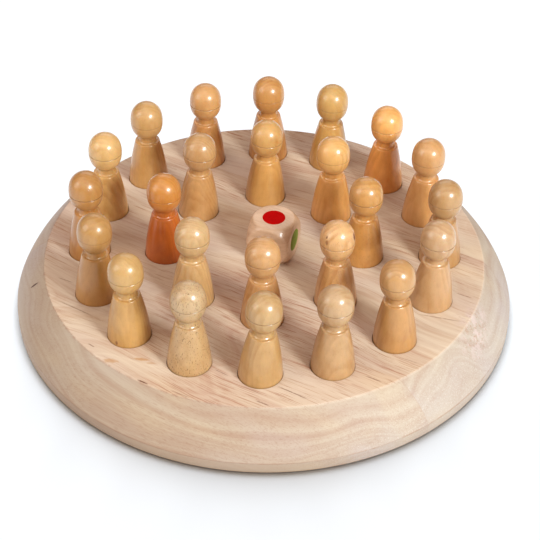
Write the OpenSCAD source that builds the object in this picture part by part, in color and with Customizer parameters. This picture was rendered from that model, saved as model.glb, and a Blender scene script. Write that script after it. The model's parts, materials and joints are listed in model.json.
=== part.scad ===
// Colour memory game: a round, thick wooden board with two rings of shallow
// round recesses, a turned wooden peg standing loose in every recess, and a
// wooden colour die lying in the middle. Each peg hides a colour spot under
// its foot; each face of the die carries one of the same six colours.
//
// Frame: millimetres, +Z up. The origin is the centre of the board's flat
// underside. Peg number 01 of each ring stands on +Y, at the far side, and the
// numbers run counter-clockwise seen from above.

/* [Board] */
// Diameter at the widest part of the rim
board_d = 228; // [210:1:250]
// Thickness of the board
board_t = 24.7; // [20:0.1:30]
// Diameter of the flat top, inside the sloping rim
top_d = 200.6; // [196:0.2:206]
// Height of the upright band at the foot of the rim
band_h = 5.8; // [3:0.1:9]
// Radius of the rounded lower edge
foot_round = 1.2; // [0.5:0.1:2.5]
// Radius of the convex curve of the sloping rim, seen in section
rim_curve_r = 51; // [40:1:90]

/* [Peg rings] */
// Number of pegs in the outer ring
outer_count = 16; // [16]
// Radius of the outer ring of recesses
outer_ring_r = 80.2; // [76:0.1:84]
// Number of pegs in the inner ring
inner_count = 8; // [8]
// Radius of the inner ring of recesses
inner_ring_r = 44.6; // [40:0.1:50]
// Diameter of each recess
recess_d = 19.8; // [19.6:0.1:21.4]
// Depth of each recess
recess_depth = 4; // [2:0.1:8]
// Chamfer around the mouth of each recess
recess_chamfer = 0.3; // [0.1:0.1:0.6]

/* [Peg] */
// Diameter of the peg's foot
foot_d = 19; // [17:0.1:19.2]
// Chamfer around the underside of the foot
foot_chamfer = 0.5; // [0.2:0.1:1]
// Height of the shoulder ledge above the board
shoulder_z = 21.9; // [19:0.1:23]
// Diameter of the body at the shoulder ledge
shoulder_d = 11.7; // [10.5:0.1:13]
// Width of the rounded edge of the shoulder ledge
shoulder_edge = 0.25; // [0.1:0.05:0.4]
// Radius of the body's gentle convex curve, seen in section
body_curve_r = 125; // [60:1:400]
// Height of the neck above the board
neck_z = 25.4; // [24.8:0.1:25.8]
// Diameter of the neck
neck_d = 8.7; // [8:0.1:9.4]
// Height of the head's widest circle above the board
head_z = 33.4; // [33:0.1:33.8]
// Diameter of the head
head_d = 15.3; // [14.6:0.1:16]
// Height of the head if its egg shape were complete
head_h = 18.7; // [18.2:0.1:19.4]
// Radius of the curve of the head's side, seen in section
head_side_r = 16; // [14:0.5:22]
// Height of the turned line around the head, above the board
head_line_z = 32.8; // [31:0.1:34.5]
// Depth of the turned line around the head
head_line_depth = 0.3; // [0.1:0.05:0.5]

/* [Colour spots] */
// Diameter of the colour spot under a peg
spot_d = 13; // [8:0.5:15]
// Thickness of the colour layer under a peg
spot_t = 0.4; // [0.3:0.1:0.8]
// How far the colour layer sits back from the foot, so it does not rub
spot_setback = 0.2; // [0.1:0.1:0.5]

/* [Die] */
// Length of a side of the die
die_side = 20; // [16:0.5:22]
// Diameter of the ball that rounds off the die's corners
die_round_d = 27.4; // [26:0.2:29]
// Diameter of a colour spot on the die
die_spot_d = 10.4; // [6:0.2:13]
// Thickness of a colour spot on the die
die_spot_t = 0.4; // [0.3:0.1:0.6]
// Where the die lies, right of the centre
die_x = 4; // [-10:0.5:10]
// Where the die lies, beyond the centre
die_y = 1; // [-10:0.5:10]
// How far the die is turned about the upright
die_turn = -18.8; // [-45:0.2:45]

/* [Hidden] */
$fn = 96;
eps = 0.01;

board_r = board_d / 2;
top_r = top_d / 2;

// Lacquered wood tones, from pale to dark, and which one each peg has
tones = ["#e8bf7c", "#dda75e", "#cd8a3c", "#b9692a", "#9c4418"];
outer_tones = [2, 1, 1, 3, 3, 1, 1, 0, 1, 1, 2, 1, 2, 1, 1, 2];
inner_tones = [1, 2, 4, 1, 1, 1, 1, 1];

// The six colours, in the order of the die's faces, and which one each peg
// hides: four pegs share each colour
colours = ["#c3121b", "#1d5a22", "#1f4fa3", "#e8bf1e", "#dd6b16", "#1d1b1a"];
outer_colours = [0, 3, 1, 5, 2, 4, 0, 2, 5, 1, 3, 4, 0, 5, 2, 3];
inner_colours = [4, 1, 2, 0, 5, 3, 1, 4];

// Centre of an arc of radius r through points a and b of a section, on the
// side of the axis
function arc_centre(a, b, r) =
    let (m = (a + b) / 2, d = b - a, l = norm(d), h = sqrt(r * r - l * l / 4))
    m + h / l * (d[1] > 0 ? [-d[1], d[0]] : [d[1], -d[0]]);

// Where the pegs stand: [ring radius, angle]
function outer_place(i) = [outer_ring_r, 90 + (i - 1) * 360 / outer_count];
function inner_place(i) = [inner_ring_r, 90 + (i - 1) * 360 / inner_count];
module at_place(place) {
    rotate([0, 0, place[1]]) translate([place[0], 0, 0]) children();
}

// Section of the board: flat top, convex sloping rim, upright band, and a
// rounded lower edge
module board_section() {
    rim_c = arc_centre([board_r, band_h], [top_r, board_t], rim_curve_r);
    square([top_r, board_t]);
    intersection() {
        translate(rim_c) circle(r = rim_curve_r, $fn = 360);
        translate([top_r - 1, band_h]) square([board_r - top_r + 1, board_t - band_h]);
    }
    translate([0, foot_round]) square([board_r, band_h - foot_round]);
    square([board_r - foot_round, foot_round]);
    translate([board_r - foot_round, foot_round]) circle(r = foot_round);
}

// A recess for one peg, cut down from the board's top
module recess() {
    translate([0, 0, board_t - recess_depth])
        cylinder(d = recess_d, h = recess_depth + 1);
    translate([0, 0, board_t - recess_chamfer])
        cylinder(r1 = recess_d / 2, r2 = recess_d / 2 + recess_chamfer + eps, h = recess_chamfer + eps);
}

module board() {
    color("#d8b596") difference() {
        rotate_extrude($fn = 240) board_section();
        for (i = [1:outer_count]) at_place(outer_place(i)) recess();
        for (i = [1:inner_count]) at_place(inner_place(i)) recess();
    }
}

// Section of the head: an egg shape of three arcs that run smoothly into each
// other, one for the side and one each for the crown and the underside
module head_section() {
    r = head_d / 2;
    b = head_h / 2;
    s = head_side_r;
    cap_r = (r * r + b * b - 2 * s * r) / (2 * (b - s));
    cap_z = b - cap_r;
    join_z = cap_z + cap_r * cap_z / sqrt(pow(s - r, 2) + cap_z * cap_z);
    intersection() {
        union() {
            intersection() {
                translate([r - s, 0]) circle(r = s, $fn = 180);
                translate([-1, -join_z]) square([r + 2, 2 * join_z]);
            }
            intersection() {
                translate([0, cap_z]) circle(r = cap_r);
                translate([-1, join_z - eps / 2]) square([r + 2, b]);
            }
            intersection() {
                translate([0, -cap_z]) circle(r = cap_r);
                translate([-1, -join_z + eps / 2 - b]) square([r + 2, b]);
            }
        }
        translate([0, -b]) square([r + 1, 2 * b]);
    }
}

// Section of a whole peg; height 0 is the board's top, so the foot reaches
// down below 0 to the floor of its recess
module peg_section() {
    body_c = arc_centre([foot_d / 2, 0], [shoulder_d / 2, shoulder_z], body_curve_r);
    difference() {
        union() {
            translate([0, -recess_depth + foot_chamfer])
                square([foot_d / 2, recess_depth - foot_chamfer]);
            polygon([[0, -recess_depth], [foot_d / 2 - foot_chamfer, -recess_depth],
                [foot_d / 2, -recess_depth + foot_chamfer], [0, -recess_depth + foot_chamfer]]);
            intersection() {
                translate(body_c) circle(r = body_curve_r, $fn = 720);
                square([foot_d / 2 + 1, shoulder_z]);
            }
            polygon([[0, shoulder_z], [shoulder_d / 2, shoulder_z],
                [shoulder_d / 2 - shoulder_edge, shoulder_z + shoulder_edge],
                [neck_d / 2 + 0.35, shoulder_z + shoulder_edge + 0.1],
                [neck_d / 2, shoulder_z + shoulder_edge + 0.45],
                [neck_d / 2, neck_z], [0, neck_z]]);
            translate([0, neck_z - eps]) square([neck_d / 2, 1]);
            translate([0, head_z]) head_section();
        }
        translate([head_d / 2 + 0.2, head_line_z]) circle(r = 0.2 + head_line_depth);
    }
}

// One turned peg, with a shallow round pocket in its underside for the colour
module peg(place, tone) {
    color(tones[tone]) at_place(place) translate([0, 0, board_t]) difference() {
        rotate_extrude() peg_section();
        translate([0, 0, -recess_depth - 1])
            cylinder(d = spot_d + 0.1, h = 1 + spot_setback + spot_t);
    }
}

// The colour layer in the pocket under a peg
module peg_spot(place, colour) {
    color(colours[colour]) at_place(place)
        translate([0, 0, board_t - recess_depth + spot_setback])
            cylinder(d = spot_d, h = spot_t);
}

// The six faces of the die: top, right, far, left, near and underside
die_faces = [[0, 0, 0], [0, 90, 0], [-90, 0, 0], [0, -90, 0], [90, 0, 0], [180, 0, 0]];
module at_die() {
    translate([die_x, die_y, board_t + die_side / 2]) rotate([0, 0, die_turn]) children();
}
module on_die_face(f) {
    rotate(die_faces[f]) translate([0, 0, die_side / 2]) children();
}

module die() {
    color("#e3c08f") at_die() difference() {
        intersection() {
            cube(die_side, center = true);
            sphere(d = die_round_d);
        }
        for (f = [0:5]) on_die_face(f)
            translate([0, 0, -die_spot_t]) cylinder(d = die_spot_d + 0.04, h = die_spot_t + 1);
    }
}

// A colour spot let into one face of the die, a hair below the face
module die_spot(f) {
    color(colours[f]) at_die() on_die_face(f)
        translate([0, 0, -die_spot_t]) cylinder(d = die_spot_d, h = die_spot_t - 0.03);
}

board();
peg(outer_place(1), outer_tones[0]);  // peg_outer_01
peg(outer_place(2), outer_tones[1]);  // peg_outer_02
peg(outer_place(3), outer_tones[2]);  // peg_outer_03
peg(outer_place(4), outer_tones[3]);  // peg_outer_04
peg(outer_place(5), outer_tones[4]);  // peg_outer_05
peg(outer_place(6), outer_tones[5]);  // peg_outer_06
peg(outer_place(7), outer_tones[6]);  // peg_outer_07
peg(outer_place(8), outer_tones[7]);  // peg_outer_08
peg(outer_place(9), outer_tones[8]);  // peg_outer_09
peg(outer_place(10), outer_tones[9]);  // peg_outer_10
peg(outer_place(11), outer_tones[10]);  // peg_outer_11
peg(outer_place(12), outer_tones[11]);  // peg_outer_12
peg(outer_place(13), outer_tones[12]);  // peg_outer_13
peg(outer_place(14), outer_tones[13]);  // peg_outer_14
peg(outer_place(15), outer_tones[14]);  // peg_outer_15
peg(outer_place(16), outer_tones[15]);  // peg_outer_16
peg(inner_place(1), inner_tones[0]);  // peg_inner_01
peg(inner_place(2), inner_tones[1]);  // peg_inner_02
peg(inner_place(3), inner_tones[2]);  // peg_inner_03
peg(inner_place(4), inner_tones[3]);  // peg_inner_04
peg(inner_place(5), inner_tones[4]);  // peg_inner_05
peg(inner_place(6), inner_tones[5]);  // peg_inner_06
peg(inner_place(7), inner_tones[6]);  // peg_inner_07
peg(inner_place(8), inner_tones[7]);  // peg_inner_08
peg_spot(outer_place(1), outer_colours[0]);  // spot_outer_01
peg_spot(outer_place(2), outer_colours[1]);  // spot_outer_02
peg_spot(outer_place(3), outer_colours[2]);  // spot_outer_03
peg_spot(outer_place(4), outer_colours[3]);  // spot_outer_04
peg_spot(outer_place(5), outer_colours[4]);  // spot_outer_05
peg_spot(outer_place(6), outer_colours[5]);  // spot_outer_06
peg_spot(outer_place(7), outer_colours[6]);  // spot_outer_07
peg_spot(outer_place(8), outer_colours[7]);  // spot_outer_08
peg_spot(outer_place(9), outer_colours[8]);  // spot_outer_09
peg_spot(outer_place(10), outer_colours[9]);  // spot_outer_10
peg_spot(outer_place(11), outer_colours[10]);  // spot_outer_11
peg_spot(outer_place(12), outer_colours[11]);  // spot_outer_12
peg_spot(outer_place(13), outer_colours[12]);  // spot_outer_13
peg_spot(outer_place(14), outer_colours[13]);  // spot_outer_14
peg_spot(outer_place(15), outer_colours[14]);  // spot_outer_15
peg_spot(outer_place(16), outer_colours[15]);  // spot_outer_16
peg_spot(inner_place(1), inner_colours[0]);  // spot_inner_01
peg_spot(inner_place(2), inner_colours[1]);  // spot_inner_02
peg_spot(inner_place(3), inner_colours[2]);  // spot_inner_03
peg_spot(inner_place(4), inner_colours[3]);  // spot_inner_04
peg_spot(inner_place(5), inner_colours[4]);  // spot_inner_05
peg_spot(inner_place(6), inner_colours[5]);  // spot_inner_06
peg_spot(inner_place(7), inner_colours[6]);  // spot_inner_07
peg_spot(inner_place(8), inner_colours[7]);  // spot_inner_08
die();
die_spot(0);  // die_spot_red
die_spot(1);  // die_spot_green
die_spot(2);  // die_spot_blue
die_spot(3);  // die_spot_yellow
die_spot(4);  // die_spot_orange
die_spot(5);  // die_spot_black
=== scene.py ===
import json
import math
import random

import bpy
import numpy as np
from mathutils import Matrix, Vector
from mathutils.geometry import delaunay_2d_cdt

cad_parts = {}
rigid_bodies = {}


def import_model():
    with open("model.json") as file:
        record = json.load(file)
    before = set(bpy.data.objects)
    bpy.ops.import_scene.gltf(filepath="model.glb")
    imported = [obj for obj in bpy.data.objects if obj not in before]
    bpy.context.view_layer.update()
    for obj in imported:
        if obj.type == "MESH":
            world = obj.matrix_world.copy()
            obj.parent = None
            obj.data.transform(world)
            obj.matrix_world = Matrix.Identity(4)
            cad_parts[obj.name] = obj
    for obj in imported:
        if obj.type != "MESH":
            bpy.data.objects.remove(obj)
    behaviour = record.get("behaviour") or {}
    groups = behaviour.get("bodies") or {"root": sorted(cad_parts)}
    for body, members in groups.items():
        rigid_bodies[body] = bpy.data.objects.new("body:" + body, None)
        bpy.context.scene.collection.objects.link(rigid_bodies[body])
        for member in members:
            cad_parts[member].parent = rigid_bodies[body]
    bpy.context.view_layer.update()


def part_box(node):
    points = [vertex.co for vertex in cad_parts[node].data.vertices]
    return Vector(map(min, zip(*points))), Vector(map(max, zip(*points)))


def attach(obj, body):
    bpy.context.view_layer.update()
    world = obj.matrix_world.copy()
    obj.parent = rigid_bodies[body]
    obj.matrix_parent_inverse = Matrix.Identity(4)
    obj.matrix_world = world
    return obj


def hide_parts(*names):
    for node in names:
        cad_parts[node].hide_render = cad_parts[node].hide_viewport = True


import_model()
MM = 0.001

# ---------------------------------------------------------------- dimensions (mm), read off the frame where it can say
_lo, _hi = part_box("board")
BOARD_R = (_hi.x - _lo.x) / 2 * 1000
BOARD_T = _hi.z * 1000
TOP_R = 100.3
BAND_H = 5.8
FOOT_ROUND = 1.2
RIM_CURVE = 51.0
RECESS_R = 9.62
RECESS_DEPTH = 4.0
FOOT_R = 9.5
RINGS = {"outer": (16, 80.2), "inner": (8, 44.6)}


def node_centre(name):
    lo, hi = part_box(name)
    return (lo + hi) / 2 * 1000


def rng(key):
    return random.Random("peg game " + key)


# ---------------------------------------------------------------- mesh helpers
def make_object(name, verts, faces, smooth=True, loc=None, rot=None):
    """verts in mm."""
    me = bpy.data.meshes.new(name)
    me.from_pydata([tuple(v) for v in (np.asarray(verts, float) * MM)], [], faces)
    me.validate()
    me.update()
    if smooth:
        me.shade_smooth()
    ob = bpy.data.objects.new(name, me)
    bpy.context.scene.collection.objects.link(ob)
    if rot is not None:
        ob.matrix_world = Matrix.Translation(Vector(loc) * MM) @ rot
    elif loc is not None:
        ob.matrix_world = Matrix.Translation(Vector(loc) * MM)
    return ob


def lathe(profile, segs, wobble=None):
    """A closed solid of revolution. profile is a list of (r, z), from the axis at the bottom to the axis at the top."""
    pr = np.array(profile, float)
    ang = np.arange(segs) * 2 * math.pi / segs
    verts, rings = [], []
    for k, (r, z) in enumerate(pr):
        if r < 1e-6:
            rings.append([len(verts)])
            verts.append((0.0, 0.0, z))
            continue
        rr = r * (wobble(ang, z) if wobble else np.ones(segs))
        start = len(verts)
        verts.extend(zip(rr * np.cos(ang), rr * np.sin(ang), np.full(segs, z)))
        rings.append(list(range(start, start + segs)))
    faces = []
    for a, b in zip(rings[:-1], rings[1:]):
        if len(a) == 1 and len(b) == 1:
            continue
        for i in range(segs):
            j = (i + 1) % segs
            if len(a) == 1:
                faces.append((a[0], b[j], b[i]))
            elif len(b) == 1:
                faces.append((a[i], a[j], b[0]))
            else:
                faces.append((a[i], a[j], b[j], b[i]))
    return verts, faces


def arc(c, r, a0, a1, n):
    return [(c[0] + r * math.cos(a), c[1] + r * math.sin(a)) for a in np.linspace(a0, a1, n)]


def arc_centre(a, b, r):
    """Centre of the arc of radius r through a and b, on the side of the axis."""
    a, b = np.array(a, float), np.array(b, float)
    d = b - a
    l = np.linalg.norm(d)
    h = math.sqrt(r * r - l * l / 4)
    m = (a + b) / 2
    n = np.array([-d[1], d[0]]) if d[1] > 0 else np.array([d[1], -d[0]])
    return tuple(m + n / l * h)


def curve_points(a, b, r, n):
    """Points along the convex arc of radius r from a to b."""
    c = arc_centre(a, b, r)
    t0, t1 = math.atan2(a[1] - c[1], a[0] - c[0]), math.atan2(b[1] - c[1], b[0] - c[0])
    return arc(c, r, t0, t1, n)


def rounded(path, corners, n=4):
    """Rounds the corners of a path: corners is {index: radius}."""
    out = []
    for i, p in enumerate(path):
        if i not in corners or i in (0, len(path) - 1):
            out.append(p)
            continue
        r = corners[i]
        p0, p1, p2 = (np.array(q, float) for q in (path[i - 1], p, path[i + 1]))
        u, v = p0 - p1, p2 - p1
        lu, lv = np.linalg.norm(u), np.linalg.norm(v)
        u, v = u / lu, v / lv
        half = math.acos(max(-1, min(1, float(u @ v)))) / 2
        if half > math.pi / 2 - 0.01:
            out.append(p)
            continue
        t = min(r / math.tan(half), 0.45 * lu, 0.45 * lv)
        a, b = p1 + u * t, p1 + v * t
        for k in range(n + 1):
            s = k / n
            q = (1 - s) ** 2 * a + 2 * s * (1 - s) * p1 + s * s * b
            out.append((float(q[0]), float(q[1])))
    return out


# ---------------------------------------------------------------- node helpers
class Tree:
    def __init__(self, name):
        self.mat = bpy.data.materials.new(name)
        self.mat.use_nodes = True
        self.nt = self.mat.node_tree
        self.bsdf = self.nt.nodes["Principled BSDF"]
        self.x = -400

    def add(self, kind, **props):
        n = self.nt.nodes.new(kind)
        for k, v in props.items():
            setattr(n, k, v)
        self.x -= 60
        n.location = (self.x, 200 - (self.x % 700))
        return n

    def put(self, socket, value):
        if value is None:
            return
        if isinstance(value, bpy.types.NodeSocket):
            self.nt.links.new(value, socket)
        elif isinstance(value, (tuple, list)) and socket.type == "RGBA" and len(value) == 3:
            socket.default_value = (*value, 1)
        else:
            socket.default_value = value

    def math(self, op, a, b=None, c=None, clamp=False):
        n = self.add("ShaderNodeMath", operation=op, use_clamp=clamp)
        for s, v in zip(n.inputs, (a, b, c)):
            self.put(s, v)
        return n.outputs[0]

    def vec(self, op, a, b=None, scale=None):
        n = self.add("ShaderNodeVectorMath", operation=op)
        self.put(n.inputs[0], a)
        if b is not None:
            self.put(n.inputs[1], b)
        if scale is not None:
            self.put(n.inputs["Scale"], scale)
        return n.outputs["Value"] if op in ("DOT_PRODUCT", "LENGTH", "DISTANCE") else n.outputs[0]

    def mapping(self, v, loc=(0, 0, 0), rot=(0, 0, 0), scale=(1, 1, 1)):
        n = self.add("ShaderNodeMapping")
        self.put(n.inputs["Vector"], v)
        n.inputs["Location"].default_value = loc
        n.inputs["Rotation"].default_value = rot
        n.inputs["Scale"].default_value = scale
        return n.outputs[0]

    def noise(self, v, scale=1.0, detail=2.0, rough=0.5, w=None, dims="3D"):
        n = self.add("ShaderNodeTexNoise", noise_dimensions=dims)
        if v is not None:
            self.put(n.inputs["Vector"], v)
        if w is not None:
            self.put(n.inputs["W"], w)
        n.inputs["Scale"].default_value = scale
        n.inputs["Detail"].default_value = detail
        n.inputs["Roughness"].default_value = rough
        return n.outputs[0]

    def step(self, x, a, b, lo=0.0, hi=1.0, smooth=True):
        n = self.add("ShaderNodeMapRange", interpolation_type="SMOOTHSTEP" if smooth else "LINEAR", clamp=True)
        self.put(n.inputs["Value"], x)
        n.inputs["From Min"].default_value = a
        n.inputs["From Max"].default_value = b
        n.inputs["To Min"].default_value = lo
        n.inputs["To Max"].default_value = hi
        return n.outputs[0]

    def mix(self, fac, a, b, blend="MIX"):
        n = self.add("ShaderNodeMix", data_type="RGBA", blend_type=blend)
        n.clamp_factor = True
        self.put(n.inputs[0], fac)
        self.put(n.inputs[6], a)
        self.put(n.inputs[7], b)
        return n.outputs[2]

    def sep(self, v):
        n = self.add("ShaderNodeSeparateXYZ")
        self.put(n.inputs[0], v)
        return n.outputs

    def comb(self, x, y, z):
        n = self.add("ShaderNodeCombineXYZ")
        for s, v in zip(n.inputs, (x, y, z)):
            self.put(s, v)
        return n.outputs[0]

    def ramp(self, fac, stops, interp="LINEAR"):
        n = self.add("ShaderNodeValToRGB")
        r = n.color_ramp
        r.interpolation = interp
        while len(r.elements) < len(stops):
            r.elements.new(0.5)
        for e, (p, c) in zip(r.elements, stops):
            e.position = p
            e.color = (*c, 1)
        self.put(n.inputs[0], fac)
        return n.outputs[0]

    def bump(self, height, strength, distance, normal=None):
        n = self.add("ShaderNodeBump")
        n.inputs["Strength"].default_value = strength
        n.inputs["Distance"].default_value = distance
        self.put(n.inputs["Height"], height)
        if normal is not None:
            self.put(n.inputs["Normal"], normal)
        return n.outputs[0]

    def coords(self):
        n = self.add("ShaderNodeTexCoord")
        return self.vec("SCALE", n.outputs["Object"], scale=1000.0)

    def out(self, colour, rough, normal, **fixed):
        self.put(self.bsdf.inputs["Base Color"], colour)
        self.put(self.bsdf.inputs["Roughness"], rough)
        if normal is not None:
            self.put(self.bsdf.inputs["Normal"], normal)
        for k, v in fixed.items():
            self.bsdf.inputs[k.replace("_", " ")].default_value = v
        return self.mat


def lin(rgb):
    """sRGB 0-255 to linear."""
    return tuple(c / 255 / 12.92 if c / 255 <= 0.04045 else ((c / 255 + 0.055) / 1.055) ** 2.4 for c in rgb)


def scaled(c, k):
    return tuple(min(0.95, x * k) for x in c)


# ---------------------------------------------------------------- board wood
GRAIN = math.radians(-29)
# Long dark pore lines of the top: centre x, y, half length, half width, angle in degrees, darkness
STREAKS = [
    (13.2, -91.2, 8.4, 0.42, -30.3, 0.75),
    (-49.2, -86.6, 3.0, 0.55, -29.6, 1.0),
    (-16.8, -79.9, 3.8, 0.35, -32.6, 0.6),
    (0.9, -97.7, 3.5, 0.4, -26.6, 0.7),
    (47.1, -82.0, 4.3, 0.4, -27.4, 0.65),
    (-72.8, -64.8, 2.2, 0.4, -38.0, 0.7),
    (-82.5, -40.8, 11.0, 0.5, -31.4, 0.5),
    (77.2, -42.5, 10.9, 0.45, -13.1, 0.5),
    (89.0, -27.0, 4.4, 0.4, -26.5, 0.5),
    (-88.7, -22.0, 4.7, 0.4, -25.2, 0.45),
    (-4.0, -90.0, 6.0, 0.3, -30.0, 0.45),
    (30.0, -84.0, 7.0, 0.3, -28.0, 0.45),
    (-33.0, -93.5, 5.0, 0.35, -27.0, 0.5),
    (62.0, -70.0, 6.0, 0.3, -24.0, 0.4),
]
# honey-coloured marks of the top: centre x, y, half length, half width, strength
STAINS = [(-63.6, -74.2, 3.6, 1.5, 0.62), (-51.0, -72.9, 4.2, 1.0, 0.75), (-46.5, -75.2, 2.2, 0.7, 0.4)]
# glue lines between the planks, across the grain (mm)
SEAMS = (-43.6, 46.0)


def board_material():
    t = Tree("board_wood_mat")
    p = t.coords()
    g0 = t.mapping(p, rot=(0, 0, -GRAIN))
    s0 = t.sep(g0)
    z = s0[2]
    # which plank, 0, 1 or 2
    plank = t.math("ADD", t.math("GREATER_THAN", s0[1], SEAMS[0]), t.math("GREATER_THAN", s0[1], SEAMS[1]))
    shift = t.comb(t.math("MULTIPLY", plank, 61.0), t.math("MULTIPLY", plank, 37.0), t.math("MULTIPLY", plank, 23.0))
    gp = t.vec("ADD", g0, shift)
    # slow bend of the grain
    warp = t.noise(gp, 0.012, 1.0, 0.4)
    s1 = t.sep(gp)
    y = t.math("MULTIPLY_ADD", t.math("SUBTRACT", warp, 0.5), 22.0, s1[1])
    g = t.comb(s1[0], y, s1[2])
    # growth layers, nearly level: long figures on the top, contour lines on the rim
    swell = t.noise(t.mapping(g, scale=(0.0065, 0.024, 0.02)), 1.0, 1.0, 0.45)
    layer = t.math("MULTIPLY_ADD", swell, 46.0, z)
    layer = t.math("MULTIPLY_ADD", s0[0], 0.045, layer)
    band = t.noise(None, 1.0, 1.0, 0.5, w=t.math("MULTIPLY", layer, 0.30), dims="1D")
    fine_band = t.noise(None, 1.0, 2.0, 0.6, w=t.math("MULTIPLY", layer, 0.95), dims="1D")
    broad = t.noise(t.mapping(g, scale=(0.009, 0.03, 0.05)), 1.0, 2.0, 0.5)
    streak = t.noise(t.mapping(g, scale=(0.02, 0.55, 0.55)), 1.0, 3.0, 0.6)
    fibre = t.noise(t.mapping(g, scale=(0.09, 2.2, 2.2)), 1.0, 2.0, 0.6)
    hair = t.noise(t.mapping(g, scale=(0.25, 5.0, 5.0)), 1.0, 1.0, 0.5)
    # tone: 0 pale to 1 dark
    tone = t.math("MULTIPLY_ADD", t.math("SUBTRACT", band, 0.5), 0.55, 0.40)
    flat = t.step(z, BOARD_T - 0.6, BOARD_T - 0.2)
    tone = t.math("MULTIPLY_ADD", t.math("MULTIPLY", t.math("SUBTRACT", fine_band, 0.5), t.math("MULTIPLY_ADD", flat, 0.30, 0.20)), 1.0, tone)
    tone = t.math("MULTIPLY_ADD", t.math("SUBTRACT", broad, 0.5), 0.8, tone)
    tone = t.math("MULTIPLY_ADD", t.math("MULTIPLY", t.math("SUBTRACT", streak, 0.5), t.math("MULTIPLY_ADD", flat, 0.60, 0.18)), 1.0, tone)
    tone = t.math("MULTIPLY_ADD", t.math("SUBTRACT", fibre, 0.5), 0.30, tone, clamp=True)
    col = t.ramp(tone, [(0.0, BOARD_TONES[0]), (0.38, BOARD_TONES[1]), (0.68, BOARD_TONES[2]), (1.0, BOARD_TONES[3])])
    # a hint of grey-violet and of yellow, in slow patches
    patch = t.noise(t.mapping(g, loc=(40, 3, 9), scale=(0.016, 0.05, 0.06)), 1.0, 1.0, 0.5)
    col = t.mix(t.step(patch, 0.50, 0.72, 0.0, 0.35), col, (0.60, 0.475, 0.42))
    col = t.mix(t.step(patch, 0.30, 0.48, 0.30, 0.0), col, (0.70, 0.53, 0.34))
    # pores: short dark lines along the grain, dots where the rim cuts across it
    pn = t.noise(t.mapping(g, scale=(0.085, 2.5, 2.5)), 1.0, 2.0, 0.6)
    pn2 = t.noise(t.mapping(g, loc=(17, 5, 2), scale=(0.045, 1.5, 1.5)), 1.0, 2.0, 0.6)
    pores = t.math("MAXIMUM", t.step(pn, 0.565, 0.655), t.step(pn2, 0.585, 0.665))
    area = t.step(t.math("MULTIPLY_ADD", broad, 0.6, t.math("MULTIPLY", streak, 0.5)), 0.46, 0.66, 0.16, 1.0)
    pores = t.math("MULTIPLY", t.math("MULTIPLY", pores, area), t.math("MULTIPLY_ADD", flat, 0.65, 0.35))
    col = t.mix(t.math("MULTIPLY", pores, 0.74), col, PORE)
    # the rim: greyer, smoother, end grain speckled
    geo = t.add("ShaderNodeNewGeometry")
    nrm = geo.outputs["True Normal"]
    side = t.step(t.sep(nrm)[2], 0.985, 0.80)
    facing = t.math("ABSOLUTE", t.vec("DOT_PRODUCT", nrm, (math.cos(GRAIN), math.sin(GRAIN), 0)))
    end = t.step(facing, 0.45, 0.85)
    col = t.mix(side, col, t.mix(1.0, col, RIM_TINT, "MULTIPLY"))
    speck = t.noise(t.mapping(g0, scale=(0.7, 1.9, 1.9)), 1.0, 2.0, 0.6)
    col = t.mix(t.math("MULTIPLY", end, t.step(speck, 0.52, 0.70, 0.0, 0.32)), col, scaled(BOARD_TONES[3], 1.05))
    col = t.mix(t.math("MULTIPLY", end, t.step(speck, 0.44, 0.30, 0.0, 0.25)), col, (0.78, 0.66, 0.53))
    col = t.mix(end, col, t.mix(1.0, col, (1.02, 1.09, 1.24), "MULTIPLY"))
    # worn, knotty corner where the end grain meets the top on the right
    q = t.vec("MULTIPLY", t.vec("SUBTRACT", p, (93.0, -47.0, 21.5)), (1.0, 0.62, 1.0))
    knot = t.step(t.math("MULTIPLY_ADD", t.noise(g0, 0.30, 2.0, 0.6), 9.0, t.vec("LENGTH", q)), 6.5, 17.0, 1.0, 0.0)
    kn = t.noise(t.mapping(g0, scale=(0.30, 0.85, 0.85)), 1.0, 3.0, 0.65)
    pale = t.noise(t.mapping(g0, loc=(9, 4, 1), scale=(0.16, 0.30, 0.30)), 1.0, 2.0, 0.6)
    col = t.mix(t.math("MULTIPLY", knot, t.step(pale, 0.44, 0.60, 0.0, 0.55)), col, (0.62, 0.49, 0.47))
    col = t.mix(t.math("MULTIPLY", knot, t.step(kn, 0.53, 0.66, 0.0, 0.62)), col, (0.37, 0.19, 0.115))
    # glue lines
    seam = None
    for ys in SEAMS:
        d = t.step(t.math("ABSOLUTE", t.math("SUBTRACT", s0[1], ys)), 0.10, 0.30, 1.0, 0.0)
        seam = d if seam is None else t.math("MAXIMUM", seam, d)
    col = t.mix(t.math("MULTIPLY", seam, 0.20), col, (0.36, 0.21, 0.13))
    # the turned edge of the top: a painted highlight along the right front, the side towards the key light, and a
    # darker broken line along the front left
    rad = t.vec("LENGTH", t.comb(t.sep(p)[0], t.sep(p)[1], 0.0))
    edge = t.math("MULTIPLY", t.step(t.math("ABSOLUTE", t.math("SUBTRACT", rad, TOP_R + 0.1)), 0.2, 0.75, 1.0, 0.0), t.step(z, BOARD_T - 1.6, BOARD_T - 1.0))
    toward_key = t.vec("DOT_PRODUCT", t.vec("NORMALIZE", p), (0.89, -0.32, 0.0))
    col = t.mix(t.math("MULTIPLY", edge, t.step(toward_key, 0.0, 0.6, 0.0, 0.16)), col, (0.84, 0.70, 0.57))
    broken_edge_line = t.math("MULTIPLY", edge, t.step(t.noise(g0, 0.5, 2.0, 0.6), 0.42, 0.62))
    col = t.mix(t.math("MULTIPLY", broken_edge_line, t.step(toward_key, 0.3, -0.1, 0.0, 0.40)), col, (0.36, 0.20, 0.13))
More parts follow.
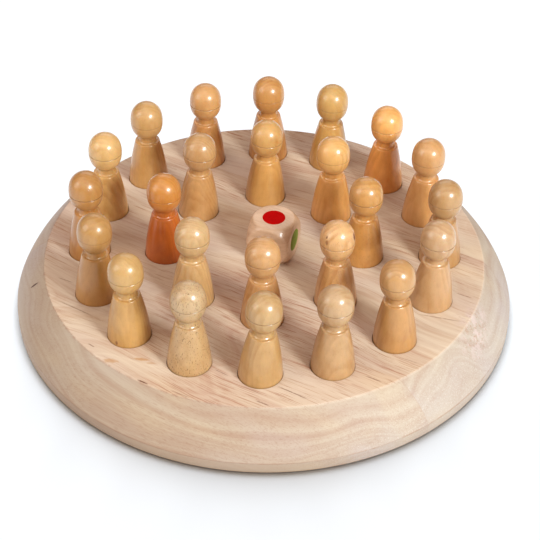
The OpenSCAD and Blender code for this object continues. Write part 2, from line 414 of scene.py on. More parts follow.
    # the line above the straight band at the foot
    fl = t.step(t.math("ABSOLUTE", t.math("SUBTRACT", z, BAND_H - 0.1)), 0.12, 0.55, 1.0, 0.0)
    fl = t.math("MULTIPLY", fl, t.step(t.noise(g0, 0.22, 2.0, 0.6), 0.35, 0.6, 0.25, 0.75))
    # the straight band at the foot darker, less so on the end grain: partly a burn mark, partly painted shade at the
    # foot of the board
    band_z = t.step(z, BAND_H - 0.2, BAND_H - 0.9)
    col = t.mix(t.math("MULTIPLY", band_z, t.math("MULTIPLY_ADD", end, -0.45, 0.62)), col, (0.42, 0.305, 0.222))
    col = t.mix(t.math("MULTIPLY", fl, 0.85), col, (0.34, 0.205, 0.135))
    # the long dark lines
    dark = None
    for cx, cy, hl, hw, ang, k in STREAKS:
        a = math.radians(ang)
        q = t.vec("SUBTRACT", p, (cx, cy, 0))
        al = t.math("ABSOLUTE", t.vec("DOT_PRODUCT", q, (math.cos(a), math.sin(a), 0)))
        ac = t.math("ABSOLUTE", t.vec("DOT_PRODUCT", q, (-math.sin(a), math.cos(a), 0)))
        m = t.math("MULTIPLY", t.step(al, hl * 0.45, hl, 1.0, 0.0), t.step(ac, hw * 0.25, hw, k, 0.0))
        dark = m if dark is None else t.math("MAXIMUM", dark, m)
    broken = t.step(t.noise(t.mapping(g0, scale=(0.9, 3, 3)), 1.0, 1.0, 0.5), 0.3, 0.55, 0.45, 1.0)
    dark = t.math("MULTIPLY", t.math("MULTIPLY", dark, t.step(z, BOARD_T - 3, BOARD_T - 1.5)), broken)
    # the short crack in the left of the rim
    q = t.vec("SUBTRACT", p, CRACK[0])
    al = t.vec("DOT_PRODUCT", q, CRACK[1])
    ac = t.vec("LENGTH", t.vec("SUBTRACT", q, t.vec("SCALE", CRACK[1], scale=al)))
    taper = t.step(t.math("ABSOLUTE", al), 0.6, 3.4, 0.62, 0.12)
    crack = t.math("MULTIPLY", t.step(t.math("ABSOLUTE", al), 2.2, 3.6, 1.0, 0.0), t.step(t.math("DIVIDE", ac, taper), 0.5, 1.1, 1.0, 0.0))
    col = t.mix(dark, col, (0.135, 0.045, 0.02))
    col = t.mix(crack, col, (0.075, 0.028, 0.018))
    # honey-coloured marks
    sn = t.noise(t.mapping(g0, scale=(0.5, 0.9, 0.9)), 1.0, 2.0, 0.6)
    for cx, cy, hl, hw, k in STAINS:
        q = t.mapping(t.vec("SUBTRACT", p, (cx, cy, BOARD_T)), rot=(0, 0, math.radians(6)))
        q = t.vec("MULTIPLY", q, (1 / hl, 1 / hw, 0.4))
        st = t.step(t.math("MULTIPLY_ADD", sn, 1.1, t.vec("LENGTH", q)), 0.95, 1.65, k, 0.0)
        col = t.mix(st, col, (0.46, 0.235, 0.09))
    rough = t.math("MULTIPLY_ADD", fibre, 0.16, 0.48)
    rough = t.math("MULTIPLY_ADD", pores, 0.15, rough)
    h = t.math("MULTIPLY_ADD", fibre, 0.5, t.math("MULTIPLY", hair, 0.3))
    h = t.math("MULTIPLY_ADD", pores, -0.8, h)
    h = t.math("MULTIPLY_ADD", t.math("MAXIMUM", dark, crack), -1.6, h)
    return t.out(col, rough, t.bump(h, 0.5, 0.00012), Specular_IOR_Level=0.35, IOR=1.45)


BOARD_TONES = [(0.6506, 0.5273, 0.4022), (0.5772, 0.4377, 0.3230), (0.5086, 0.3428, 0.2438), (0.4158, 0.2374, 0.1643)]
PORE = (0.3351, 0.1371, 0.0714)
RIM_TINT = (0.7241, 0.7304, 0.7206)
CRACK = ((-103.4, -20.0, 19.6), (0.67, -0.19, 0.72))


# ---------------------------------------------------------------- peg wood
def peg_material(name, tones, speck=0.25, rings=0.5, knots=(), sheen_and_shade=None):
    rnd = rng(name)
    t = Tree(name + "_wood_mat")
    p = t.coords()
    off = (rnd.uniform(-400, 400), rnd.uniform(-400, 400), rnd.uniform(-400, 400))
    turn = math.pi / 2 + rnd.uniform(-0.55, 0.55)
    tilt = (rnd.uniform(-0.10, 0.10), rnd.uniform(-0.10, 0.10), turn)
    w = t.mapping(p, rot=tilt)
    wn = t.mapping(w, loc=off)
    s = t.sep(w)
    # growth rings about a pith well behind the peg: flat arcs on the head, tall figures on the body
    pith = rnd.uniform(16, 34)
    spacing = rnd.uniform(1.3, 2.1)
    bend = t.noise(t.mapping(wn, scale=(0.10, 0.10, 0.035)), 1.0, 2.0, 0.5)
    dx = t.math("ADD", s[0], pith)
    r = t.math("SQRT", t.math("ADD", t.math("MULTIPLY", dx, dx), t.math("MULTIPLY", s[1], s[1])))
    r = t.math("MULTIPLY_ADD", bend, 5.0, r)
    f = t.math("FRACT", t.math("DIVIDE", r, spacing))
    ring = t.math("MULTIPLY", t.step(f, 0.05, 0.75), t.step(f, 0.80, 1.0, 1.0, 0.0))
    faint = t.step(t.noise(t.mapping(wn, loc=(5, 2, 8), scale=(0.13, 0.13, 0.06)), 1.0, 1.0, 0.5), 0.35, 0.65, 0.15, 1.0)
    blotch = t.noise(t.mapping(wn, scale=(0.13, 0.13, 0.08)), 1.0, 2.0, 0.55)
    mottle = t.noise(t.mapping(wn, loc=(3, 1, 7), scale=(0.45, 0.45, 0.30)), 1.0, 2.0, 0.5)
    fibre = t.noise(t.mapping(wn, scale=(1.3, 1.3, 0.09)), 1.0, 2.0, 0.55)
    hair = t.noise(t.mapping(wn, scale=(4.5, 4.5, 0.4)), 1.0, 2.0, 0.6)
    z = t.sep(p)[2]
    marks = t.noise(None, 1.0, 1.0, 0.5, w=t.math("MULTIPLY", z, 2.6), dims="1D")
    tone = t.math("MULTIPLY_ADD", t.math("SUBTRACT", blotch, 0.5), 0.80, 0.44)
    tone = t.math("MULTIPLY_ADD", t.math("MULTIPLY", t.math("SUBTRACT", ring, 0.4), faint), 0.60 * rings, tone)
    tone = t.math("MULTIPLY_ADD", t.math("SUBTRACT", mottle, 0.5), 0.46, tone)
    tone = t.math("MULTIPLY_ADD", t.math("SUBTRACT", fibre, 0.5), 0.26, tone)
    tone = t.math("MULTIPLY_ADD", t.math("SUBTRACT", marks, 0.5), 0.10, tone)
    tone = t.math("MULTIPLY_ADD", t.math("SUBTRACT", hair, 0.5), 0.16, tone, clamp=True)
    pale, mid, deep = tones
    col = t.ramp(tone, [(0.05, pale), (0.45, mid), (0.98, deep)])
    # vessels: short flecks along the grain, dots in the end grain of the head
    fl = t.noise(t.mapping(wn, scale=(2.1, 2.1, 0.8)), 1.0, 2.0, 0.6)
    fleck = t.step(fl, 0.575, 0.68)
    col = t.mix(t.math("MULTIPLY", fleck, speck), col, scaled(deep, 0.55))
    # darker in the turned line (partly a burn line, partly painted shade in the groove), and painted shade at the neck
    # under the head and at the foot where the peg enters its recess
    def near(z0, half, k):
        return t.step(t.math("ABSOLUTE", t.math("SUBTRACT", z, z0)), half * 0.15, half, k, 0.0)
    burn_line_and_shade = t.math("MAXIMUM", near(GROOVE_Z[name], 0.40, GROOVE_K[name]), near(25.4, 1.3, 0.30))
    burn_line_and_shade = t.math("MAXIMUM", burn_line_and_shade, t.step(z, -1.0, 1.0, 0.3, 0.0))
    col = t.mix(burn_line_and_shade, col, scaled(deep, 0.5))
    # painted light: the head paler and bluer as a painted sheen, the foot darker and warmer as painted shade
    if sheen_and_shade:
        col = t.mix(t.step(z, 16.0, 40.0), t.mix(1.0, col, sheen_and_shade[0], "MULTIPLY"), t.mix(1.0, col, sheen_and_shade[1], "MULTIPLY"))
    for kx, ky, kz, kr, kk in knots:
        d = t.vec("LENGTH", t.vec("MULTIPLY", t.vec("SUBTRACT", p, (kx, ky, kz)), (1, 1, 0.6)))
        d = t.math("MULTIPLY_ADD", t.math("SUBTRACT", mottle, 0.5), kr * 0.8, d)
        col = t.mix(t.step(d, kr * 0.45, kr, kk, 0.0), col, (0.15, 0.045, 0.015))
    # turning marks
    h = t.math("MULTIPLY_ADD", marks, 0.9, t.math("MULTIPLY", fibre, 0.4))
    h = t.math("MULTIPLY_ADD", fleck, -0.35, h)
    orange = t.noise(t.mapping(wn, loc=(9, 9, 9)), 0.40, 1.0, 0.4)
    h2 = t.math("MULTIPLY_ADD", orange, 0.8, t.math("MULTIPLY", marks, 0.25))
    rough = t.math("MULTIPLY_ADD", fibre, 0.14, 0.36)
    t.put(t.bsdf.inputs["Coat Normal"], t.bump(h2, 0.16, 0.0002))
    t.bsdf.inputs["Coat Tint"].default_value = (1.0, 0.95, 0.86, 1)
    t.bsdf.inputs["Subsurface Radius"].default_value = (1.0, 0.35, 0.12)
    return t.out(col, rough, t.bump(h, 0.25, 0.00012), Specular_IOR_Level=0.45, IOR=1.5, Subsurface_Weight=0.18, Subsurface_Scale=0.0025,
                 Coat_Weight=0.85, Coat_Roughness=0.20, Coat_IOR=1.47)


def paint_material(name, colour):
    rnd = rng(name)
    t = Tree(name + "_mat")
    p = t.coords()
    pn = t.mapping(p, loc=(rnd.uniform(-90, 90), rnd.uniform(-90, 90), 0))
    a = t.noise(pn, 0.35, 3.0, 0.55)
    b = t.noise(t.mapping(pn, scale=(0.4, 2.2, 2.2)), 1.0, 2.0, 0.5)
    col = t.ramp(t.math("MULTIPLY_ADD", t.math("SUBTRACT", b, 0.5), 0.5, a), [(0.25, scaled(colour, 0.86)), (0.5, colour), (0.8, scaled(colour, 1.12))])
    worn = t.step(t.noise(t.mapping(pn, loc=(3, 7, 1)), 0.75, 2.0, 0.6), 0.66, 0.74, 0.0, WEAR[name])
    col = t.mix(worn, col, (0.42, 0.30, 0.16))
    h = t.math("MULTIPLY_ADD", b, 0.6, a)
    return t.out(col, 0.55, t.bump(h, 0.3, 0.00008), Specular_IOR_Level=0.03, IOR=1.45)


WEAR = {"paint_red": 0.0, "paint_green": 0.75, "paint_blue": 0.2, "paint_yellow": 0.2, "paint_orange": 0.2, "paint_black": 0.25}


def die_material():
    t = Tree("die_wood_mat")
    p = t.coords()
    w = t.mapping(p, rot=(0.05, 0.12, 0.3))
    s = t.sep(w)
    bend = t.noise(t.mapping(w, scale=(0.02, 0.07, 0.07)), 1.0, 2.0, 0.5)
    r = t.math("MULTIPLY_ADD", bend, 6.0, t.math("MULTIPLY", s[2], 1.0))
    ringn = t.noise(None, 1.0, 2.0, 0.5, w=t.math("MULTIPLY", r, 0.55), dims="1D")
    streak = t.noise(t.mapping(w, scale=(0.07, 0.9, 0.9)), 1.0, 3.0, 0.6)
    fibre = t.noise(t.mapping(w, scale=(0.2, 3.4, 3.4)), 1.0, 2.0, 0.6)
    tone = t.math("MULTIPLY_ADD", t.math("SUBTRACT", ringn, 0.5), 0.9, 0.45)
    tone = t.math("MULTIPLY_ADD", t.math("SUBTRACT", streak, 0.5), 0.6, tone)
    tone = t.math("MULTIPLY_ADD", t.math("SUBTRACT", fibre, 0.5), 0.4, tone, clamp=True)
    col = t.ramp(tone, [(0.0, DIE_TONES[0]), (0.45, DIE_TONES[1]), (1.0, DIE_TONES[2])])
    fl = t.step(t.noise(t.mapping(w, scale=(0.35, 2.4, 2.4)), 1.0, 2.0, 0.6), 0.6, 0.72, 0.0, 0.3)
    col = t.mix(fl, col, scaled(DIE_TONES[2], 0.7))
    rough = t.math("MULTIPLY_ADD", fibre, 0.14, 0.34)
    h = t.math("MULTIPLY_ADD", fibre, 0.6, streak)
    return t.out(col, rough, t.bump(h, 0.3, 0.0001), Specular_IOR_Level=0.5, IOR=1.5,
                 Coat_Weight=0.55, Coat_Roughness=0.16, Coat_IOR=1.5)


DIE_TONES = [(0.6459, 0.4313, 0.2870), (0.5652, 0.3623, 0.2261), (0.4127, 0.2329, 0.1304)]

PAINTS = {
    "red": (0.4079, 0.0004, 0.0003),
    "green": (0.195, 0.25, 0.046),
    "blue": (0.016, 0.075, 0.36),
    "yellow": (0.80, 0.50, 0.012),
    "orange": (0.72, 0.145, 0.008),
    "black": (0.012, 0.011, 0.011),
}

# ---------------------------------------------------------------- the pegs, one line each
# material slot, mid tone (linear), speckle, ring contrast, place off the recess centre x, y (mm), lean x, y, head width, height, line depth
PEGS = {
    "outer_01": ("amber", (0.5038, 0.2427, 0.0724), 0.15, 0.5, (0.30, 0.19), (-0.003, 0.004), 1.002, 1.008, 0.12),
    "outer_02": ("honey", (0.5588, 0.2932, 0.1117), 0.15, 0.5, (0.28, 0.37), (0.008, 0.001), 0.994, 0.990, 0.25),
    "outer_03": ("honey", (0.5185, 0.2963, 0.1124), 0.12, 0.4, (-0.62, 0.30), (0.003, 0.004), 1.000, 1.003, 0.10),
    "outer_04": ("honey", (0.6152, 0.3757, 0.1473), 0.12, 0.5, (-0.50, 0.11), (0.007, 0.002), 1.005, 1.002, 0.30),
    "outer_05": ("amber", (0.4252, 0.2049, 0.0593), 0.12, 0.5, (0.02, 0.23), (0.005, 0.004), 1.008, 1.004, 0.35),
    "outer_06": ("honey", (0.4219, 0.2225, 0.0710), 0.12, 0.4, (0.22, 0.40), (0.024, 0.004), 1.003, 0.999, 0.08),
    "outer_07": ("honey", (0.4833, 0.2894, 0.1074), 0.12, 0.4, (-0.51, 0.18), (-0.005, 0.000), 0.997, 0.995, 0.20),
    "outer_08": ("pale", (0.4721, 0.3191, 0.1734), 0.95, 0.28, (0.30, 0.55), (0.002, 0.003), 0.994, 0.996, 0.25),
    "outer_09": ("honey", (0.4386, 0.2718, 0.1215), 0.12, 0.5, (-0.34, 0.50), (0.036, 0.004), 1.002, 0.999, 0.30),
    "outer_10": ("honey", (0.4428, 0.2782, 0.1455), 0.15, 0.5, (-0.65, 0.05), (-0.001, -0.002), 1.003, 0.993, 0.30),
    "outer_11": ("honey", (0.4448, 0.2413, 0.0946), 0.12, 0.5, (0.27, -0.01), (-0.027, -0.003), 0.987, 0.985, 0.25),
    "outer_12": ("honey", (0.4693, 0.2869, 0.1518), 0.12, 0.5, (0.12, 0.45), (0.017, 0.003), 1.003, 0.999, 0.30),
    "outer_13": ("amber", (0.4216, 0.2432, 0.1060), 0.12, 0.5, (-0.01, -0.08), (0.001, -0.002), 0.998, 0.994, 0.15),
    "outer_14": ("honey", (0.5262, 0.2788, 0.1116), 0.12, 0.4, (-0.11, 0.26), (0.019, 0.002), 1.004, 1.002, 0.12),
    "outer_15": ("amber", (0.6991, 0.3348, 0.0995), 0.12, 0.6, (-0.25, 0.27), (0.006, 0.003), 0.996, 1.004, 0.20),
    "outer_16": ("honey", (0.5179, 0.3020, 0.0998), 0.12, 0.5, (-0.34, 0.17), (0.019, 0.004), 1.006, 1.010, 0.12),
    "inner_01": ("honey", (0.5404, 0.2998, 0.1016), 0.12, 0.5, (-0.47, 0.05), (0.012, -0.003), 0.995, 0.984, 0.25),
    "inner_02": ("amber", (0.4870, 0.2742, 0.1152), 0.12, 0.5, (-0.25, 0.28), (0.029, 0.002), 1.001, 0.994, 0.30),
    "inner_03": ("russet", (0.4938, 0.1507, 0.0184), 0.12, 0.5, (-0.62, 0.03), (0.001, 0.000), 1.009, 0.997, 0.15),
    "inner_04": ("honey", (0.5311, 0.3425, 0.1674), 0.15, 0.6, (0.29, 0.00), (0.009, 0.000), 0.999, 1.000, 0.32),
    "inner_05": ("honey", (0.5060, 0.2771, 0.1171), 0.15, 0.6, (-0.27, 0.17), (-0.003, 0.003), 1.005, 1.005, 0.35),
    "inner_06": ("honey", (0.5965, 0.3429, 0.1518), 0.30, 0.8, (0.35, 0.00), (-0.012, 0.000), 1.002, 0.998, 0.30),
    "inner_07": ("honey", (0.4968, 0.2492, 0.0757), 0.25, 0.6, (0.27, 0.18), (0.001, 0.002), 0.994, 0.998, 0.35),
    "inner_08": ("amber", (0.6341, 0.3384, 0.1119), 0.12, 0.5, (-0.62, 0.00), (-0.004, 0.000), 1.009, 0.997, 0.12),
}
# where a peg stands in its recess, off the middle (mm)
SITS = {
    "outer_09": (0.06, 0.07), "outer_10": (0.08, 0.02), "outer_11": (0.09, 0.05), "outer_12": (0.05, -0.08),
    "outer_07": (-0.06, 0.06), "outer_08": (0.04, 0.09), "outer_15": (-0.03, 0.10), "inner_01": (-0.10, 0.09),
    "outer_06": (0.0, -0.10), "outer_04": (-0.06, 0.06), "outer_02": (-0.09, 0.05), "outer_13": (0.04, -0.09),
}
# painted shade at the foot and painted sheen on the head: colour factors for the foot, then for the head; a few pegs
# have their own
HEAD_SHEEN_FOOT_SHADE = ((0.98, 0.94, 0.86), (1.0, 1.06, 1.16))
PEG_SHEEN_SHADE = {"inner_03": ((0.95, 0.72, 0.48), (1.02, 1.45, 2.5)), "outer_15": ((0.96, 0.88, 0.78), (1.0, 1.13, 1.30)), "inner_08": ((0.97, 0.90, 0.80), (1.0, 1.10, 1.24))}

# small dark knots in the wood: where on the peg (mm from the middle of its foot), how big, how dark
KNOTS = {
    "inner_06": [(-4.9, -4.8, 38.7, 0.7, 0.9), (-4.9, -5.8, 36.7, 1.0, 0.6), (6.9, -1.8, 36.9, 1.45, 1.0)],
    "outer_07": [(-4.8, -8.2, 1.4, 0.9, 0.7)],
}
OUTER_COLOURS = [0, 3, 1, 5, 2, 4, 0, 2, 5, 1, 3, 4, 0, 5, 2, 3]
INNER_COLOURS = [4, 1, 2, 0, 5, 3, 1, 4]
PAINT_NAMES = ["red", "green", "blue", "yellow", "orange", "black"]
GROOVE_Z, GROOVE_K = {}, {}


SHOULDER_Z, SHOULDER_R, NECK_R = 21.9, 5.85, 4.35


def peg_profile(neck_r, shoulder_r, ledge_rise):
    """Section of a peg from the pocket in its foot to the foot of its head; z is above the board's top."""
    pts = [(0, -3.4), (6.2, -3.4), (6.55, -3.4), (6.55, -4.0), (9.0, -4.0), (FOOT_R, -3.5), (FOOT_R, 0.0)]
    pts = rounded(pts, {3: 0.12, 4: 0.2, 5: 0.35})
    body = curve_points((FOOT_R, 0.0), (shoulder_r, SHOULDER_Z), 125.0, 34)
    z = SHOULDER_Z
    # the ledge: a softened edge, a nearly flat step inwards, and the neck, a little hollow
    ledge = [body[-1], (shoulder_r - 0.20, z + 0.30), (neck_r + 0.45, z + 0.30 + ledge_rise), (neck_r - 0.04, z + 0.85 + ledge_rise),
             (neck_r - 0.10, z + 1.8), (neck_r, z + 3.1), (neck_r + 0.02, z + 3.45)]
    ledge = rounded(ledge, {1: 0.28, 2: 0.3, 3: 0.3, 4: 1.0, 5: 0.5}, 5)
    return pts + body[1:-1] + ledge


def head_arcs(a, b, s, hz, line_z, depth, z0):
    """Right half of the head's oval, from height z0 up to the top, with the turned line cut in."""
    # side arc of radius s about (a - s, hz), and a cap arc of radius c about (0, hz + b - c), tangent to it
    d = s - a
    c = (s * s - d * d - b * b) / (2 * (s - b))
    t = math.atan2(b - c, d)
    out = [(a - s + s * math.cos(th), hz + s * math.sin(th)) for th in np.linspace(-t, t, 41)]
    cap = [(c * math.cos(th), hz + b - c + c * math.sin(th)) for th in np.linspace(t, math.pi / 2, 26)][1:]
    low = [(c * math.cos(th), hz - b + c - c * math.sin(th)) for th in np.linspace(math.pi / 2, t, 26)][:-1]
    pts = low + out + cap
    pts = [(max(r, 0.0), z) for r, z in pts if z > z0]
    pts[-1] = (0.0, hz + b)
    # the turned line: a small round-bottomed groove with soft lips
    fine = []
    for i, (r, z) in enumerate(pts):
        if abs(z - line_z) < 0.75:
            continue
        fine.append((r, z))
    k = next(i for i, q in enumerate(fine) if q[1] > line_z)
    r0 = a - s + math.sqrt(max(0.0, s * s - (line_z - hz) ** 2))
    cut = []
    for u in (-0.7, -0.45, -0.3, -0.2, -0.13, -0.07, 0.0, 0.07, 0.13, 0.2, 0.3, 0.45, 0.7):
        zz = line_z + u
        rr = a - s + math.sqrt(max(0.0, s * s - (zz - hz) ** 2))
        g = depth * math.exp(-((abs(u) / 0.15) ** 1.6))
        cut.append((rr - g, zz))
    return fine[:k] + cut + fine[k:]


def build_peg(key, row):
    slot, mid, speck, rings, off, lean, sh, sz, depth = row
    name = "peg_" + key
    rnd = rng("shape " + name)
    ring, num = key.split("_")
    count, rad = RINGS[ring]
    a = math.pi / 2 + (int(num) - 1) * 2 * math.pi / count
    line_z = 32.8 + rnd.uniform(-0.3, 0.3)
    GROOVE_Z[name], GROOVE_K[name] = line_z * sz, min(0.8, 0.2 + depth * 1.6)
    base = peg_profile(NECK_R * sh + rnd.uniform(-0.1, 0.1), SHOULDER_R, rnd.uniform(0.02, 0.18))
    head = head_arcs(7.65 * sh, 9.35, 16.0, 33.4, line_z, depth, 24.5)
    start = next(i for i, q in enumerate(head) if q[0] > base[-1][0] + 0.12 and q[1] > base[-1][1] + 0.05)
    profile = base + head[start:]
    profile = [(r, z if z < 0.5 else z * sz) for r, z in profile]
    e, ph = rnd.uniform(0.0, 0.004), rnd.uniform(0, math.pi)
    verts, faces = lathe(profile, 96, lambda g, z: 1 + e * np.cos(2 * (g - ph)))
    tilt = Matrix.Rotation(math.hypot(*lean), 4, Vector((-lean[1], lean[0], 0))) if math.hypot(*lean) > 1e-6 else Matrix.Identity(4)
    place = (rad * math.cos(a) + off[0], rad * math.sin(a) + off[1], BOARD_T + 9.3 * math.sin(math.hypot(*lean)))
    ob = make_object("turned_" + name, verts, faces, loc=place, rot=tilt)
    tones = (scaled(mid, 1.17), mid, tuple(c * k for c, k in zip(mid, (0.80, 0.66, 0.50))))
    ob.data.materials.append(peg_material(name, tones, speck, rings, KNOTS.get(key, ()), PEG_SHEEN_SHADE.get(key, HEAD_SHEEN_FOOT_SHADE)))
    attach(ob, name)
    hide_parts(name)
    # the colour under the foot
    colours = OUTER_COLOURS if ring == "outer" else INNER_COLOURS
    paint = PAINT_NAMES[colours[int(num) - 1]]
    prof = rounded([(0, -3.8), (6.4, -3.8), (6.4, -3.42), (0, -3.42)], {1: 0.12, 2: 0.1})
    v2, f2 = lathe(prof, 64)
    sp = make_object("paint_under_" + key, v2, f2, loc=place, rot=tilt)
    sp.data.materials.append(PAINT_MATS[paint])
    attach(sp, name)
    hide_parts("spot_" + key)
    return ob


# ---------------------------------------------------------------- the board
def build_board():
    verts, faces = [], []
    seg_rim, seg_hole = 384, 72
    shoulder = 0.55
    c = arc_centre((BOARD_R, BAND_H), (TOP_R, BOARD_T), RIM_CURVE)
    rim = curve_points((BOARD_R, BAND_H), (TOP_R, BOARD_T), RIM_CURVE, 26)
    path = [(TOP_R - 3.0, BOARD_T), (TOP_R, BOARD_T)] + rim[::-1][1:] + [(BOARD_R, FOOT_ROUND)]
    path += arc((BOARD_R - FOOT_ROUND, FOOT_ROUND), FOOT_ROUND, 0, -math.pi / 2, 7)[1:]
    path += [(BOARD_R - 6, 0.0), (60.0, 0.0), (0.0, 0.0)]
    crease = 2 + len(rim) - 2
    path = rounded(path, {1: shoulder, crease: 0.35}, 6)
    ang = np.arange(seg_rim) * 2 * math.pi / seg_rim
    rings = []
    for r, z in path:
        if r < 1e-6:
            rings.append([len(verts)])
            verts.append((0.0, 0.0, z))
            continue
        rings.append(list(range(len(verts), len(verts) + seg_rim)))
        verts.extend(zip(r * np.cos(ang), r * np.sin(ang), np.full(seg_rim, z)))
    for p, q in zip(rings[:-1], rings[1:]):
        for i in range(seg_rim):
            j = (i + 1) % seg_rim
            if len(q) == 1:
                faces.append((p[i], p[j], q[0])[::-1])
            else:
                faces.append((p[i], q[i], q[j], p[j]))
    # the recesses
    centres = []
    for ring, (count, rad) in RINGS.items():
        for i in range(count):
            a = math.pi / 2 + i * 2 * math.pi / count
            key = "%s_%02d" % (ring, i + 1)
            off, inside = PEGS[key][4], SITS.get(key, (0.0, 0.05))
            centres.append((rad * math.cos(a) + off[0] - inside[0], rad * math.sin(a) + off[1] - inside[1]))
    hole = rounded([(RECESS_R + 1.2, BOARD_T), (RECESS_R, BOARD_T), (RECESS_R, BOARD_T - RECESS_DEPTH),
                    (0.0, BOARD_T - RECESS_DEPTH)], {1: 0.22, 2: 0.5}, 5)
    hang = np.arange(seg_hole) * 2 * math.pi / seg_hole
    loops = []
    for cx, cy in centres:
        hr = []
        for r, z in hole:
            if r < 1e-6:
                hr.append([len(verts)])
                verts.append((cx, cy, z))
                continue
            hr.append(list(range(len(verts), len(verts) + seg_hole)))
            verts.extend(zip(cx + r * np.cos(hang), cy + r * np.sin(hang), np.full(seg_hole, z)))
        for p, q in zip(hr[:-1], hr[1:]):
            for i in range(seg_hole):
                j = (i + 1) % seg_hole
                if len(q) == 1:
                    faces.append((p[i], p[j], q[0]))
                else:
                    faces.append((p[i], p[j], q[j], q[i]))
        loops.append(hr[0])
    # the flat top between them
    pts, ids = [], []
    for loop in [rings[0]] + loops:
        for v in loop:
            pts.append(Vector(verts[v][:2]))
            ids.append(v)
    edges, k = [], 0
    for loop in [rings[0]] + loops:
        n = len(loop)
        edges += [(k + i, k + (i + 1) % n) for i in range(n)]
        k += n
    grid = []
    outer = TOP_R - 3.0
    for gx in np.arange(-96, 97, 8.0):
        for gy in np.arange(-96, 97, 8.0):
            if math.hypot(gx, gy) < outer - 4 and all(math.hypot(gx - cx, gy - cy) > RECESS_R + 3.2 for cx, cy in centres):
                grid.append((gx, gy))
                pts.append(Vector((gx, gy)))
    for gx, gy in grid:
        ids.append(len(verts))
        verts.append((gx, gy, BOARD_T))
    co, _e, tri, orig, _oe, _of = delaunay_2d_cdt(pts, edges, [], 0, 1e-7)
    back = [ids[o[0]] if o else None for o in orig]
    for t3 in tri:
        m = sum((co[i] for i in t3), Vector((0, 0))) / len(t3)
        if m.length > outer:
            continue
        if any(math.hypot(m.x - cx, m.y - cy) < RECESS_R + 1.185 for cx, cy in centres):
            continue
        if any(back[i] is None for i in t3):
            continue
        p0, p1, p2 = (co[i] for i in t3)
        up = (p1 - p0).x * (p2 - p0).y - (p1 - p0).y * (p2 - p0).x > 0
        f = tuple(back[i] for i in t3)
        faces.append(f if up else f[::-1])
    ob = make_object("round_board", verts, faces)
    ob.data.materials.append(board_material())
    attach(ob, "board")
    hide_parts("board")
    return ob


# ---------------------------------------------------------------- the die
def build_die():
    lo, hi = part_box("die")
    centre = Vector((4.0, 1.0, BOARD_T + 10.0))
    turn = Matrix.Rotation(math.radians(-18.8), 4, "Z")
    n, half, ball, k = 56, 10.0, 13.7, 0.5
    verts, index, faces = [], {}, []

    def vert(p):
        key = tuple(round(x, 5) for x in p)
        if key not in index:
            d = np.array(p, float)
            d /= np.linalg.norm(d)
            rc, rs = half / np.abs(d).max(), ball
            # smooth minimum, so that the edge between flat and ball is soft
            hm = max(k - abs(rc - rs), 0) / k
            r = min(rc, rs) - hm * hm * k / 4
            index[key] = len(verts)
            verts.append(tuple(d * r))
        return index[key]

    g = np.tan(np.linspace(-math.pi / 4, math.pi / 4, n + 1))
    for axis in range(3):
        for sgn in (-1, 1):
            for i in range(n):
                for j in range(n):
                    quad = []
                    for a, b in ((i, j), (i + 1, j), (i + 1, j + 1), (i, j + 1)):
                        p = [0, 0, 0]
                        p[axis] = float(sgn)
                        p[(axis + 1) % 3] = float(g[a])
                        p[(axis + 2) % 3] = float(g[b])
                        quad.append(vert(p))
                    faces.append(tuple(quad) if sgn > 0 else tuple(quad[::-1]))
    ob = make_object("wooden_die", verts, faces, loc=centre, rot=turn)
    ob.data.materials.append(die_material())
    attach(ob, "die")
    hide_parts("die")
    faces_of = {"red": (0, 0), "black": (math.pi, 0), "green": (math.pi / 2, 0), "blue": (math.pi / 2, 90),
                "yellow": (math.pi / 2, 180), "orange": (math.pi / 2, 270)}
    for paint, (tilt, az) in faces_of.items():
        prof = rounded([(0, 9.8), (5.2, 9.8), (5.2, 10.0), (5.05, 10.02), (0, 10.02)], {2: 0.05, 3: 0.05}, 3)
        v, f = lathe(prof, 96)
        rot = turn @ Matrix.Rotation(math.radians(az), 4, "Z") @ Matrix.Rotation(tilt, 4, "Y")
        sp = make_object("die_paint_" + paint, v, f, loc=centre, rot=rot)
        sp.data.materials.append(PAINT_MATS[paint])
        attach(sp, "die")
        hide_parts("die_spot_" + paint)
    return ob


PAINT_MATS = {k: paint_material("paint_" + k, c) for k, c in PAINTS.items()}
board = build_board()
pegs = {k: build_peg(k, v) for k, v in PEGS.items()}
die = build_die()

# ---------------------------------------------------------------- floor, light, camera
world = bpy.data.worlds.new("studio")
world.use_nodes = True
world.node_tree.nodes["Background"].inputs[0].default_value = (1.0, 0.64, 0.46, 1)
world.node_tree.nodes["Background"].inputs[1].default_value = 0.34
bpy.context.scene.world = world

fm = bpy.data.meshes.new("floor")
fm.from_pydata([(-6, -6, 0), (6, -6, 0), (6, 6, 0), (-6, 6, 0)], [], [(0, 1, 2, 3)])
floor = bpy.data.objects.new("floor", fm)
bpy.context.scene.collection.objects.link(floor)
ft = Tree("floor_mat")
fn = ft.noise(ft.coords(), 0.02, 2.0, 0.5)
ft.out(ft.ramp(fn, [(0.3, (0.715, 0.855, 0.97)), (0.7, (0.73, 0.865, 0.975))]), 0.75, None, Specular_IOR_Level=0.2)
fm.materials.append(ft.mat)


def area(name, at, to, size, power, colour, shape="DISK", size_y=None):
    ld = bpy.data.lights.new(name, "AREA")
    ld.shape = shape
    ld.size = size
    if size_y:
        ld.size_y = size_y
    ld.energy = power
    ld.color = colour
    ob = bpy.data.objects.new(name, ld)
    bpy.context.scene.collection.objects.link(ob)
    at, to = Vector(at), Vector(to)
    ob.matrix_world = Matrix.Translation(at) @ (to - at).to_track_quat("-Z", "Y").to_matrix().to_4x4()
    return ob


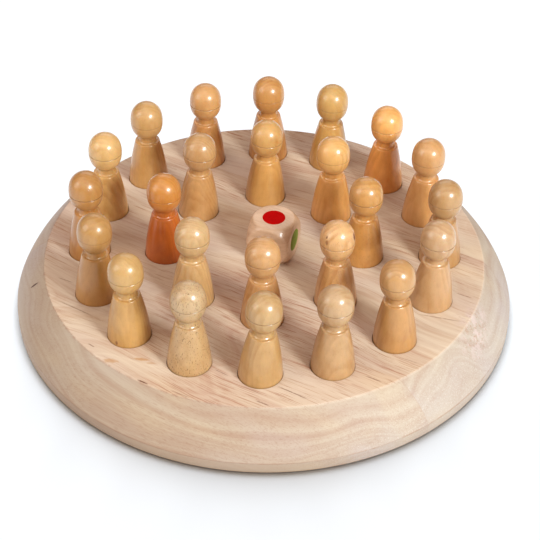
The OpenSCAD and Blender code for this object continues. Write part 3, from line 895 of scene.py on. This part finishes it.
key = area("key", (0.620, -0.739, 0.601), (0, 0, 0.04), 0.34, 15.6, (0.90, 0.985, 1.0))
over = area("overhead", (-0.40, -0.45, 1.05), (-0.25, -0.30, 0.0), 1.6, 6.8, (0.98, 1.0, 1.0), "RECTANGLE", 1.5)
left = area("left", (-1.15, -0.45, 0.65), (0, 0, 0.03), 0.8, 5.8, (1.0, 1.0, 0.97), "RECTANGLE", 0.8)
back = area("back", (0, 1.2, 0.85), (0, 0, 0.03), 1.2, 3.3, (1.0, 1.0, 1.0), "RECTANGLE", 0.6)
ground = area("ground", (0, 2.2, 4.0), (0, 0, 0), 4.0, 298.0, (1.07, 1.0, 0.96), "RECTANGLE", 4.0)
# the shaped lights reach the game but not the floor; the ground light reaches only the floor, which stays clean and pale
lit = bpy.data.collections.new("lit_by_studio")
for ob in bpy.context.scene.objects:
    if ob.type == "MESH" and ob is not floor:
        lit.objects.link(ob)
for ob in (key, over, left, back):
    ob.light_linking.receiver_collection = lit
pale = bpy.data.collections.new("lit_by_ground")
pale.objects.link(floor)
ground.light_linking.receiver_collection = pale

YAW, PITCH, ROLL = math.radians(0.278), math.radians(39.594), math.radians(1.041)
fwd = Vector((math.sin(YAW) * math.cos(PITCH), math.cos(YAW) * math.cos(PITCH), -math.sin(PITCH)))
right = Vector((math.cos(YAW), -math.sin(YAW), 0))
up = right.cross(fwd)
r2 = math.cos(ROLL) * right + math.sin(ROLL) * up
u2 = -math.sin(ROLL) * right + math.cos(ROLL) * up
m = Matrix((r2, u2, -fwd)).transposed().to_4x4()
m.translation = Vector((0, -0.54768, 0.46773))
cam_data = bpy.data.cameras.new("camera")
cam_data.sensor_width = 36
cam_data.lens = 36 * 1534.69 / 540
cam_data.clip_start = 0.01
cam = bpy.data.objects.new("camera", cam_data)
bpy.context.scene.collection.objects.link(cam)
cam.matrix_world = Matrix.Rotation(math.radians(0.45), 4, "Z") @ m
bpy.context.scene.camera = cam
vs = bpy.context.scene.view_settings
vs.view_transform = "Standard"
vs.look = "None"
vs.exposure = 0.0
vs.gamma = 1.0

bpy.context.view_layer.update()
